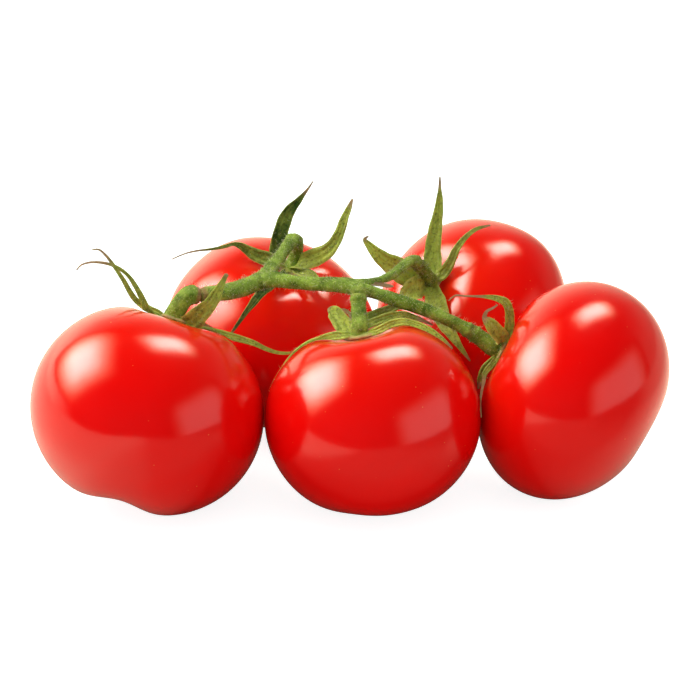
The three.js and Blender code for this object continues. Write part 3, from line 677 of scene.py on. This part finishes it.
# The vine
# The main stem of the truss with its branches, grown as one: from the knuckle of the left fruit over
# to the back left one, with a fork to the middle knuckle, the long branch to the right, and the thin
# one to the back right. A small dried leaf clings on under the thin one. KNUCKLES gives the branch
# that each knuckle ends and the stop where it does.
VINE = [
    [[-45.7, -19.7, 63.7, 2.6], [-43.8, -18.9, 63.8, 2.5], [-38, -16, 63.4, 2.65],
     [-32.4, -11.5, 63.2, 2.75], [-27.7, -5, 63.3, 2.6], [-25.1, 1.5, 64.2, 2.2], [-22.8, 8, 64.9, 2],
     [-20.7, 14.5, 65.6, 2.05], [-19.2, 19.5, 65.3, 2.4]],
    [[-29.5, -8, 62.8, 2.3], [-25, -9.6, 64.6, 2.6], [-21.3, -10.5, 64.5, 2.3], [-16.4, -11, 64.1, 2.1],
     [-10.2, -12.5, 64.3, 2.2], [-4.7, -14, 64.7, 2.4], [-0.4, -15.5, 64.8, 2.5],
     [1.3, -17.4, 64.6, 2.45], [1.7, -19.5, 63.9, 2.4]],
    [[-4.1, -14, 64.7, 2], [1.4, -16, 64.6, 2], [7.6, -17, 63, 1.9], [13.7, -17, 60.8, 2.15],
     [20.5, -17, 58.3, 2.1], [27.3, -17, 55.2, 2], [33.5, -17, 52, 2.1], [36, -17.1, 50.5, 2.35]],
    [[-0.4, -15, 65.5, 1.6], [3.9, -12.5, 64.8, 1.3], [8.3, -7, 63.2, 1.2], [11.5, -2, 62.3, 1.5],
     [14.7, 4, 62.2, 1.6], [17.7, 10.5, 61.6, 1.75], [19.4, 14.5, 60.3, 1.9], [20.4, 16.5, 58.7, 2]],
]
DRIED_LEAF = dict(dry=-1, tone=0, facing=(0, -0.8, 0.6), route=[
    [1.7, -14.2, 65.2, 1.2], [5.2, -12.2, 64.3, 1.2], [8.6, -10.4, 63.1, 1.3], [10.8, -9.4, 62.3, 1.2],
    [12.4, -8.6, 61.8, 0.5]])
DRIED_LEAF_ROOT = (-0.4, -15.5, 65.6)
VINE_SIDES = 32
STEPS_PER_STOP = 12
FIRST_LIP = 1.2
BRANCH_LIP = 0.5
VOXEL = 0.36
SCAR_REACH = 1.1
KNUCKLE_REACH = (4.5, 5.5)
KNUCKLES = {"left": (0, 0), "back_left": (0, -1), "middle": (1, -1), "right": (2, -1),
            "back_right": (3, -1)}


def grown_together(name, bodies, finish, slot, *nodes):
    """One piece of bodies that cross: remeshed at a fine voxel into one skin, with its forks rounded
    by smoothing."""
    made = piece(name, bodies, finish, slot, *nodes)
    remesh = made.modifiers.new("one_skin", "REMESH")
    remesh.mode = "VOXEL"
    remesh.voxel_size = VOXEL * MM
    rounding = made.modifiers.new("rounded_forks", "SMOOTH")
    rounding.factor = 0.5
    rounding.iterations = 7
    solid = bpy.data.meshes.new_from_object(made.evaluated_get(bpy.context.evaluated_depsgraph_get()))
    made.modifiers.clear()
    rough = made.data
    made.data = solid
    bpy.data.meshes.remove(rough)
    solid.name = name
    solid.shade_smooth()
    return made


def points_of(mesh):
    """A mesh's points in millimetres."""
    flat = np.empty(len(mesh.vertices) * 3, np.float32)
    mesh.vertices.foreach_get("co", flat)
    return flat.reshape(-1, 3).astype(float) / MM


branches = []
for i, stops in enumerate(VINE):
    lips = (FIRST_LIP if i == 0 else BRANCH_LIP, BRANCH_LIP)
    branches.append(stem(stops, STEPS_PER_STOP * len(stops), VINE_SIDES, lips, 50 + i))
    branches[-1]["marks"] = {}
vine = grown_together("vine_stem", branches, STEM_SKIN, "vine_green", "vine")

# Each knuckle on the vine's side: a collar raised round it, and its edge dried to brown, which fades
# out between the two distances of KNUCKLE_REACH.
points = points_of(vine.data)
scar = np.zeros(len(points))
for name, (branch, end) in KNUCKLES.items():
    stop = np.array(VINE[branch][end][:3])
    inward = unit(np.array(VINE[branch][1 if end == 0 else -2][:3]) - stop)
    off = points - stop
    depth = off @ inward
    out = off - depth[:, None] * inward
    near = 1 - smooth_step(*KNUCKLE_REACH, np.linalg.norm(off, axis=1))
    raised = COLLAR * near * np.exp(-((depth - COLLAR_PLACE) / COLLAR_REACH) ** 2)
    points = points + raised[:, None] * out / np.maximum(np.linalg.norm(out, axis=1), 1)[:, None]
    scar = np.maximum(scar, KNUCKLE_TAN[name] * near * np.exp(-(depth / SCAR_REACH) ** 2))
vine.data.vertices.foreach_set("co", (points * MM).astype(np.float32).ravel())
vine.data.attributes.new("scar", "FLOAT", "POINT").data.foreach_set("value", scar.astype(np.float32))
vine.data.update()

dried = blade(np.array(DRIED_LEAF_ROOT), np.array(FACING), np.zeros(3), DRIED_LEAF, 90)
piece("vine_dried_leaf", [dried], SEPAL_LEAF, "vine_green", "vine")

# The hairs
# Short pale hairs that stand on every green part, as on any tomato plant. Each is a fine three-sided
# spike with one bend.
HAIR_LENGTH = (0.4, 1.9)
HAIR_RADIUS = 0.045
HAIR_TAPER = 0.6
HAIR_LEAN = 0.45
VINE_HAIRS = 2200
STALK_HAIRS = 200
SEPAL_HAIRS = 320


# Plant hair, grown: a clear pale thread of single cells. It catches the light as a fine bright fuzz.
def hair_skin():
    material, tree = new_material("plant_hair")
    place = add_node(tree, "TexCoord").outputs["Object"]
    tone = add_node(tree, "TexNoise", {"Vector": place, "Scale": 1 / (3 * MM)})
    colour = add_node(tree, "Mix", {0: tone.outputs["Fac"], 6: linear("#a8b470"),
                      7: linear("#e4e4c8")}, data_type="RGBA").outputs[2]
    hair = add_node(tree, "BsdfPrincipled", {"Base Color": colour, "Roughness": 0.5, "IOR": 1.45})
    add_node(tree, "OutputMaterial", {"Surface": hair.outputs["BSDF"]})
    return material


def hairs(grower, count, seed):
    """Hairs on a mesh, by area: a root anywhere on a triangle, a direction near its normal, and a
    length that favours short ones. The upper half of each bends a little further over."""
    mesh = grower.data
    mesh.calc_loop_triangles()
    corners = np.empty(len(mesh.loop_triangles) * 3, np.int32)
    mesh.loop_triangles.foreach_get("vertices", corners)
    a, b, c = points_of(mesh)[corners.reshape(-1, 3)].transpose(1, 0, 2)
    normal = np.cross(b - a, c - a)
    size = np.linalg.norm(normal, axis=1)
    draw = np.random.default_rng(seed)
    chosen = draw.choice(len(size), count, p=size / size.sum())
    u, v = draw.random((2, count, 1))
    u, v = np.where(u + v > 1, 1 - u, u), np.where(u + v > 1, 1 - v, v)
    root = a[chosen] + u * (b - a)[chosen] + v * (c - a)[chosen]
    up = unit(normal[chosen])
    way = unit(up + HAIR_LEAN * draw.normal(size=(count, 3)))
    bent = unit(way + HAIR_LEAN * draw.normal(size=(count, 3)))
    length = HAIR_LENGTH[0] + (HAIR_LENGTH[1] - HAIR_LENGTH[0]) * draw.random((count, 1)) ** 2
    side = unit(np.cross(way, [0.3, 0.5, 0.81]))
    beside = np.cross(way, side)
    turn = np.linspace(0, 2 * math.pi, 3, endpoint=False)[None, :, None]
    ring = side[:, None] * np.cos(turn) + beside[:, None] * np.sin(turn)
    knee = root + way * length * 0.5
    low = (root - 0.1 * up)[:, None] + ring * HAIR_RADIUS
    high = knee[:, None] + ring * HAIR_RADIUS * HAIR_TAPER
    tip = (knee + bent * length * 0.5)[:, None]
    points = np.concatenate([low, high, tip], 1).reshape(-1, 3)
    start = 7 * np.arange(count)[:, None, None]
    walls = (np.array([[0, 1, 4, 3], [1, 2, 5, 4], [2, 0, 3, 5]]) + start).reshape(-1, 4)
    tips = (np.array([[3, 4, 6], [4, 5, 6], [5, 3, 6], [2, 1, 0]]) + start).reshape(-1, 3)
    body = dict(points=points, faces=[walls, tips], marks={})
    piece(f"{grower.name}_hairs", [body], PLANT_HAIR, grower["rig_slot"])


PLANT_HAIR = hair_skin()
hairs(vine, VINE_HAIRS, 7)
for order, name in enumerate(SEPALS):
    hairs(bpy.data.objects[f"calyx_{name}_stalk"], STALK_HAIRS, 20 + order)
    hairs(bpy.data.objects[f"calyx_{name}_sepals"], SEPAL_HAIRS, 40 + order)

# The table, light and camera
# A white table top under a soft white sky. The skins mirror a large soft box high on the left, a
# smaller one overhead and a white card low on the right, and a room that is bright behind and on the
# left and dark in front, so each fruit's middle keeps its deep red. One more soft box only lights.
# The lengths here are in metres. The last two lengths below give the oval of painted shadow that the
# skins see in the table under the fruits.
TARGET = Vector((-0.001, -0.013, 0.042))
ELEVATION = 26
DISTANCE = 0.7
FOCAL_LENGTH = 115.56
# The painted shadow in the table's glow: half the size of its oval, and the shift that places it.
PAINTED_SHADOW_SIZE = (0.11, 0.08)
PAINTED_SHADOW_SHIFT = 0.1


def staged(name, corners, material):
    """A flat sheet that isn't part of the truss, with its own 0 to 1 map."""
    mesh = bpy.data.meshes.new(name)
    mesh.from_pydata(corners, [], [(0, 1, 2, 3)])
    mesh.uv_layers.new().data.foreach_set("uv", [0, 0, 1, 0, 1, 1, 0, 1])
    mesh.materials.append(material)
    sheet = bpy.data.objects.new(name, mesh)
    bpy.context.scene.collection.objects.link(sheet)
    return sheet


def table_top(west, east, front, back):
    """White board, painted matt. It is shown bright, with its shadows faint, and it lights the fruits
    as the white board that it is. The skins don't mirror it as lit: to them it is a glowing sheet with
    painted light and shade, a painted shadow dark in an oval under the fruits, mid grey in front,
    painted light brighter behind and on the left, and dimmer again far on the right."""
    material, tree = new_material("white_painted_board")
    place = add_node(tree, "TexCoord").outputs["Object"]
    tone = add_node(tree, "TexNoise", {"Vector": place, "Scale": 1 / (60 * MM), "Detail": 2})
    white = add_node(tree, "Mix", {0: tone.outputs["Fac"], 6: linear("#c4d0d0"),
                     7: linear("#ccd8d8")}, data_type="RGBA").outputs[2]
    shown = add_node(tree, "BsdfPrincipled", {
        "Base Color": white, "Roughness": 0.9, "Specular IOR Level": 0.0,
        "Emission Color": (0.97, 1, 1, 1), "Emission Strength": 0.85})
    lit = add_node(tree, "BsdfPrincipled", {
        "Base Color": linear("#dedcda"), "Roughness": 0.9, "Specular IOR Level": 0.0})
    parts = add_node(tree, "SeparateXYZ", {"Vector": place}).outputs
    # Painted light: the glow that the skins see grows brighter behind and on the left.
    behind = add_node(tree, "MapRange", {"Value": parts["Y"], "From Min": -0.08,
                      "From Max": -0.01}).outputs["Result"]
    beside = add_node(tree, "MapRange", {"Value": parts["X"], "From Min": -0.06,
                      "From Max": -0.1}).outputs["Result"]
    bright = add_node(tree, "Math", {0: behind, 1: beside}, operation="MAXIMUM").outputs[0]
    strength = add_node(tree, "MapRange", {"Value": bright, "To Min": 0.5, "To Max": 1.7})
    # Painted shadow: the glow drops to almost nothing in an oval under the fruits.
    oval = (1 / PAINTED_SHADOW_SIZE[0], 1 / PAINTED_SHADOW_SIZE[1], 1)
    painted_shadow_map = add_node(tree, "Mapping", {"Vector": place, "Location": (0, PAINTED_SHADOW_SHIFT, 0),
                         "Scale": oval}).outputs["Vector"]
    out = add_node(tree, "VectorMath", {0: painted_shadow_map}, operation="LENGTH").outputs["Value"]
    outside_painted_shadow = add_node(tree, "MapRange", {"Value": out, "From Min": 0.7, "From Max": 1.2,
                         "To Min": 0.04}).outputs["Result"]
    right = add_node(tree, "MapRange", {"Value": parts["X"], "From Min": 0.1, "From Max": 0.22,
                     "To Min": 1, "To Max": 0.4}).outputs["Result"]
    glow = add_node(tree, "Math", {0: strength.outputs["Result"], 1: outside_painted_shadow},
                    operation="MULTIPLY").outputs[0]
    glow = add_node(tree, "Math", {0: glow, 1: right}, operation="MULTIPLY").outputs[0]
    # The painted reflection: this glow, with its painted light and painted shadow, is all that glossy
    # skins see of the board.
    mirrored = add_node(tree, "Emission", {"Color": linear("#ffdcc0"), "Strength": glow})
    ray = add_node(tree, "LightPath").outputs
    unseen = add_node(tree, "MixShader", {0: ray["Is Glossy Ray"], 1: lit.outputs[0],
                      2: mirrored.outputs[0]})
    board = add_node(tree, "MixShader", {0: ray["Is Camera Ray"], 1: unseen.outputs[0],
                     2: shown.outputs[0]})
    add_node(tree, "OutputMaterial", {"Surface": board.outputs[0]})
    staged("table", [(west, front, 0), (east, front, 0), (east, back, 0), (west, back, 0)], material)


def soft_panel(name, toward, away, width, height, roll, radiance, edge, shines):
    """A glowing panel that faces the truss, from a direction and a distance in metres. Its glow fades
    and warms over the outer share edge of each half side. roll turns it in its own plane, in degrees.
    It either shines in glossy skins or lights things."""
    material, tree = new_material(name)
    map_place = add_node(tree, "TexCoord").outputs["UV"]
    parts = add_node(tree, "SeparateXYZ", {"Vector": map_place}).outputs
    fades = []
    for part in (parts["X"], parts["Y"]):
        off = add_node(tree, "Math", {0: part, 1: 0.5}, operation="SUBTRACT").outputs[0]
        far = add_node(tree, "Math", {0: off}, operation="ABSOLUTE").outputs[0]
        fade = add_node(tree, "MapRange", {"Value": far, "From Min": 0.5 * (1 - edge),
                        "From Max": 0.5, "To Min": 1, "To Max": 0}, interpolation_type="SMOOTHSTEP")
        fades.append(fade.outputs["Result"])
    fade = add_node(tree, "Math", {0: fades[0], 1: fades[1]}, operation="MULTIPLY").outputs[0]
    strength = add_node(tree, "Math", {0: fade, 1: radiance}, operation="MULTIPLY").outputs[0]
    warmth = add_node(tree, "Mix", {0: fade, 6: linear("#ffc488"), 7: linear("#fff4e8")},
                      data_type="RGBA").outputs[2]
    glow = add_node(tree, "Emission", {"Color": warmth, "Strength": strength})
    add_node(tree, "OutputMaterial", {"Surface": glow.outputs[0]})
    out = Vector(toward).normalized()
    level = Vector((0, 0, 1)).cross(out).normalized()
    upright = out.cross(level)
    turn = math.radians(roll)
    across = (level * math.cos(turn) + upright * math.sin(turn)) * width / 2
    up = (upright * math.cos(turn) - level * math.sin(turn)) * height / 2
    middle = TARGET + out * away
    corners = [middle - across - up, middle + across - up, middle + across + up, middle - across + up]
    sheet = staged(name, corners, material)
    sheet.visible_camera = False
    sheet.visible_diffuse = not shines
    sheet.visible_glossy = shines


def white_room():
    """The world: white to the eye. What a skin mirrors glows behind and on the left, and fades upward
    and forward. What lights things is a white sky, a little brighter towards the horizon."""
    world = bpy.data.worlds.new("white_room")
    world.use_nodes = True
    tree = world.node_tree
    tree.nodes.clear()
    direction = add_node(tree, "TexCoord").outputs["Generated"]
    parts = add_node(tree, "SeparateXYZ", {"Vector": direction}).outputs
    behind = add_node(tree, "MapRange", {"Value": parts["Y"], "From Min": -0.3, "From Max": 0.3,
                      "To Min": 0.015, "To Max": 1}).outputs["Result"]
    low = add_node(tree, "MapRange", {"Value": parts["Z"], "From Min": 0.75, "From Max": 0.25,
                   "To Min": 0.04, "To Max": 1}).outputs["Result"]
    left = add_node(tree, "MapRange", {"Value": parts["X"], "From Min": 0.5, "From Max": -0.7,
                    "To Min": 0.35, "To Max": 2.6}).outputs["Result"]
    glow = add_node(tree, "Math", {0: behind, 1: low}, operation="MULTIPLY").outputs[0]
    strength = add_node(tree, "Math", {0: glow, 1: left}, operation="MULTIPLY").outputs[0]
    mirrored = add_node(tree, "Background", {"Color": linear("#ffe7c8"), "Strength": strength})
    overhead = add_node(tree, "MapRange", {"Value": parts["Z"], "From Min": 0, "From Max": 1,
                        "To Min": 1.15, "To Max": 0.65}).outputs["Result"]
    sky = add_node(tree, "Background", {"Color": (1, 1, 1, 1), "Strength": overhead})
    paper = add_node(tree, "Background", {"Color": (1, 1, 1, 1), "Strength": 1.0})
    ray = add_node(tree, "LightPath").outputs
    room = add_node(tree, "MixShader", {0: ray["Is Glossy Ray"], 1: sky.outputs[0],
                    2: mirrored.outputs[0]})
    shown = add_node(tree, "MixShader", {0: ray["Is Camera Ray"], 1: room.outputs[0],
                     2: paper.outputs[0]})
    add_node(tree, "OutputWorld", {"Surface": shown.outputs[0]})
    bpy.context.scene.world = world


table_top(-1.2, 1.2, -0.42, 1.6)
white_room()
soft_panel("key_shine", (-0.76, 0.13, 0.62), 0.95, 1.22, 1.15, 0, 18, 0.85, True)
soft_panel("top_shine", (0.23, 0.41, 0.88), 0.95, 0.8, 0.48, 60, 16, 0.75, True)
soft_panel("card_shine", (0.87, -0.49, 0.1), 0.6, 1.02, 0.82, 0, 1.45, 0.6, True)
soft_panel("key_soft_box", (-0.6, 0.1, 0.79), 0.95, 0.9, 0.8, 0, 6.5, 0.4, False)
bpy.context.scene.view_settings.view_transform = "Standard"

camera = bpy.data.cameras.new("camera")
camera.lens = FOCAL_LENGTH
camera.sensor_width = 36
eye = bpy.data.objects.new("camera", camera)
eye.rotation_euler = (math.radians(90 - ELEVATION), 0, 0)
eye.location = TARGET + eye.rotation_euler.to_matrix() @ Vector((0, 0, DISTANCE))
bpy.context.scene.collection.objects.link(eye)
bpy.context.scene.camera = eye
